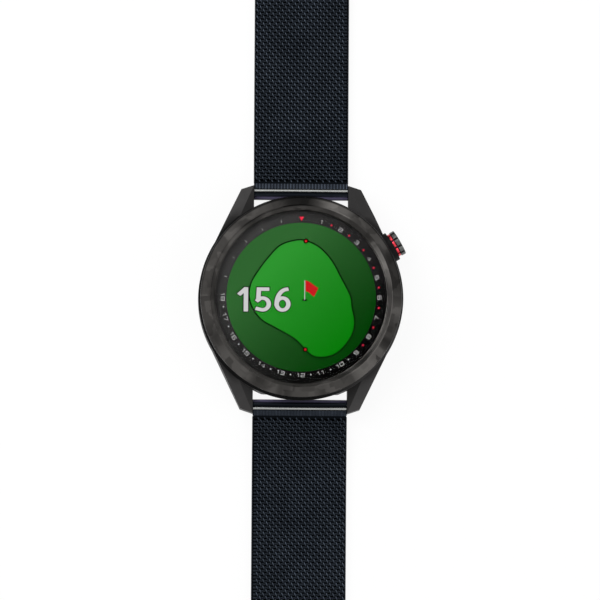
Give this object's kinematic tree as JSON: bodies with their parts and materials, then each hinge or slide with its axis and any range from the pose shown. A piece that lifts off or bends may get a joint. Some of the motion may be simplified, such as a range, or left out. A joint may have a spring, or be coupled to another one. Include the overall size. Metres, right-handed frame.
{
  "type": "golf gps watch",
  "caption": "Round golf watch with a polished bezel, a colour hole map under its lens, a fluted push button and a woven steel strap with a magnetic loop clasp.",
  "frame": {"origin": "centre of the case back's flat face, on the table", "axes": "+Z out of the watch face, +Y to 12 o'clock along the short strap half, +X to 3 o'clock"},
  "size_m": [0.044, 0.2884, 0.0116],
  "materials": {
    "case_polymer": "satin moulded",
    "bezel_metal": "polished dark",
    "lens_glass": "clear polished",
    "seal_rubber": "matte",
    "dial_print": "gloss printed",
    "display_face": "lit colour display",
    "frame_plastic": "moulded",
    "circuit_board": "solder mask",
    "chip_black": "moulded",
    "bright_steel": "bright",
    "contact_gold": "plated",
    "cell_wrap": "foil",
    "foam_grey": "foam",
    "ribbon_amber": "film",
    "back_polymer": "fine moulded texture",
    "button_red": "anodised",
    "button_dark": "satin",
    "strap_steel": "blue-black plated wire",
    "fitting_steel": "blue-black plated, polished"
  },
  "bodies": {
    "case": {"mid_case": "case_polymer", "bezel": "bezel_metal", "lens": "lens_glass", "lens_gasket": "seal_rubber", "number_ring": "dial_print", "display_panel": "display_face", "display_frame": "frame_plastic", "display_flex": "ribbon_amber", "main_board": "circuit_board", "board_chips": "chip_black", "shield_can": "bright_steel", "gps_antenna": "contact_gold", "board_screws": "bright_steel", "battery": "cell_wrap", "battery_pad": "foam_grey", "battery_tab": "contact_gold", "vibration_motor": "bright_steel", "side_switch": "chip_black", "case_back": "back_polymer", "case_back_gasket": "seal_rubber", "case_back_screws": "bright_steel", "charging_contacts": "contact_gold", "button_bush": "bright_steel", "button_seal": "seal_rubber", "button_spring": "bright_steel"},
    "side_button": {"button_stem": "bright_steel", "button_clip": "bright_steel", "button_ring": "button_red", "button_cap": "button_dark"},
    "upper_end": {"upper_end_link": "fitting_steel", "upper_bar_barrel": "bright_steel", "upper_bar_fixed_pin": "bright_steel", "upper_bar_spring": "bright_steel"},
    "upper_release": {"upper_bar_release_pin": "bright_steel"},
    "upper_band_1": {"upper_mesh_01": "strap_steel"},
    "upper_band_2": {"upper_mesh_02": "strap_steel"},
    "upper_band_3": {"upper_mesh_03": "strap_steel"},
    "upper_band_4": {"upper_mesh_04": "strap_steel"},
    "upper_band_5": {"upper_mesh_05": "strap_steel", "upper_loop_holder": "fitting_steel"},
    "lower_end": {"lower_end_link": "fitting_steel", "lower_bar_barrel": "bright_steel", "lower_bar_fixed_pin": "bright_steel", "lower_bar_spring": "bright_steel"},
    "lower_release": {"lower_bar_release_pin": "bright_steel"},
    "lower_band_1": {"lower_mesh_01": "strap_steel"},
    "lower_band_2": {"lower_mesh_02": "strap_steel"},
    "lower_band_3": {"lower_mesh_03": "strap_steel"},
    "lower_band_4": {"lower_mesh_04": "strap_steel"},
    "lower_band_5": {"lower_mesh_05": "strap_steel"},
    "lower_band_6": {"lower_mesh_06": "strap_steel"},
    "lower_band_7": {"lower_mesh_07": "strap_steel"},
    "lower_band_8": {"lower_mesh_08": "strap_steel"},
    "lower_band_9": {"lower_mesh_09": "strap_steel"},
    "lower_band_10": {"lower_mesh_10": "strap_steel", "magnet_tab": "fitting_steel", "magnet_cover": "fitting_steel", "magnet": "bright_steel"},
    "loop": {"loop_frame": "fitting_steel"}
  },
  "joints": [
    {"name": "button_press", "type": "slide", "parent": "case", "child": "side_button", "axis": [-0.8616, -0.5075, 0], "range_m": [0, 0.0006], "stiffness_N_per_m": 1500, "springref_m": -0.0006, "deforming": ["button_spring"]},
    {"name": "upper_swing", "type": "hinge", "parent": "case", "child": "upper_end", "pos_m": [0, 0.0223, 0.0026], "axis": [-1, 0, 0], "range_deg": [-40, 60]},
    {"name": "upper_release", "type": "slide", "parent": "upper_end", "child": "upper_release", "axis": [-1, 0, 0], "range_m": [0, 0.00125], "stiffness_N_per_m": 800, "springref_m": -0.001, "deforming": ["upper_bar_spring"]},
    {"name": "upper_curl", "type": "hinge", "parent": "upper_end", "child": "upper_band_1", "pos_m": [0, 0.02479, 0.00238], "axis": [-1, 0, 0], "range_deg": [-8, 18]},
    {"name": "upper_curl_2", "type": "hinge", "parent": "upper_band_1", "child": "upper_band_2", "pos_m": [0, 0.03913, 0.0011], "axis": [-1, 0, 0], "range_deg": [-8, 18]},
    {"name": "upper_curl_3", "type": "hinge", "parent": "upper_band_2", "child": "upper_band_3", "pos_m": [0, 0.05353, 0.0011], "axis": [-1, 0, 0], "range_deg": [-8, 18]},
    {"name": "upper_curl_4", "type": "hinge", "parent": "upper_band_3", "child": "upper_band_4", "pos_m": [0, 0.06793, 0.0011], "axis": [-1, 0, 0], "range_deg": [-8, 18]},
    {"name": "upper_curl_5", "type": "hinge", "parent": "upper_band_4", "child": "upper_band_5", "pos_m": [0, 0.08233, 0.0011], "axis": [-1, 0, 0], "range_deg": [-8, 18]},
    {"name": "lower_swing", "type": "hinge", "parent": "case", "child": "lower_end", "pos_m": [0, -0.0223, 0.0026], "axis": [1, 0, 0], "range_deg": [-40, 45]},
    {"name": "lower_release", "type": "slide", "parent": "lower_end", "child": "lower_release", "axis": [1, 0, 0], "range_m": [0, 0.00125], "stiffness_N_per_m": 800, "springref_m": -0.001, "deforming": ["lower_bar_spring"]},
    {"name": "lower_curl", "type": "hinge", "parent": "lower_end", "child": "lower_band_1", "pos_m": [0, -0.02479, 0.00238], "axis": [1, 0, 0], "range_deg": [-8, 16]},
    {"name": "lower_curl_2", "type": "hinge", "parent": "lower_band_1", "child": "lower_band_2", "pos_m": [0, -0.03913, 0.0011], "axis": [1, 0, 0], "range_deg": [-8, 16]},
    {"name": "lower_curl_3", "type": "hinge", "parent": "lower_band_2", "child": "lower_band_3", "pos_m": [0, -0.05353, 0.0011], "axis": [1, 0, 0], "range_deg": [-8, 16]},
    {"name": "lower_curl_4", "type": "hinge", "parent": "lower_band_3", "child": "lower_band_4", "pos_m": [0, -0.06793, 0.0011], "axis": [1, 0, 0], "range_deg": [-8, 16]},
    {"name": "lower_curl_5", "type": "hinge", "parent": "lower_band_4", "child": "lower_band_5", "pos_m": [0, -0.08233, 0.0011], "axis": [1, 0, 0], "range_deg": [-8, 16]},
    {"name": "lower_curl_6", "type": "hinge", "parent": "lower_band_5", "child": "lower_band_6", "pos_m": [0, -0.09673, 0.0011], "axis": [1, 0, 0], "range_deg": [-8, 16]},
    {"name": "lower_curl_7", "type": "hinge", "parent": "lower_band_6", "child": "lower_band_7", "pos_m": [0, -0.11113, 0.0011], "axis": [1, 0, 0], "range_deg": [-8, 16]},
    {"name": "lower_curl_8", "type": "hinge", "parent": "lower_band_7", "child": "lower_band_8", "pos_m": [0, -0.12553, 0.0011], "axis": [1, 0, 0], "range_deg": [-8, 16]},
    {"name": "lower_curl_9", "type": "hinge", "parent": "lower_band_8", "child": "lower_band_9", "pos_m": [0, -0.13993, 0.0011], "axis": [1, 0, 0], "range_deg": [-8, 16]},
    {"name": "lower_curl_10", "type": "hinge", "parent": "lower_band_9", "child": "lower_band_10", "pos_m": [0, -0.15433, 0.0011], "axis": [1, 0, 0], "range_deg": [-8, 16]},
    {"name": "loop_pivot", "type": "hinge", "parent": "upper_band_5", "child": "loop", "pos_m": [0, 0.09793, 0.0011], "axis": [-1, 0, 0], "range_deg": [-80, 80]}
  ],
  "couplings": [
    {"joint": "upper_curl_2", "follows": "upper_curl", "ratio": 1},
    {"joint": "upper_curl_3", "follows": "upper_curl", "ratio": 1},
    {"joint": "upper_curl_4", "follows": "upper_curl", "ratio": 1},
    {"joint": "upper_curl_5", "follows": "upper_curl", "ratio": 1},
    {"joint": "lower_curl_2", "follows": "lower_curl", "ratio": 1},
    {"joint": "lower_curl_3", "follows": "lower_curl", "ratio": 1},
    {"joint": "lower_curl_4", "follows": "lower_curl", "ratio": 1},
    {"joint": "lower_curl_5", "follows": "lower_curl", "ratio": 1},
    {"joint": "lower_curl_6", "follows": "lower_curl", "ratio": 1},
    {"joint": "lower_curl_7", "follows": "lower_curl", "ratio": 1},
    {"joint": "lower_curl_8", "follows": "lower_curl", "ratio": 1},
    {"joint": "lower_curl_9", "follows": "lower_curl", "ratio": 1},
    {"joint": "lower_curl_10", "follows": "lower_curl", "ratio": 1}
  ]
}
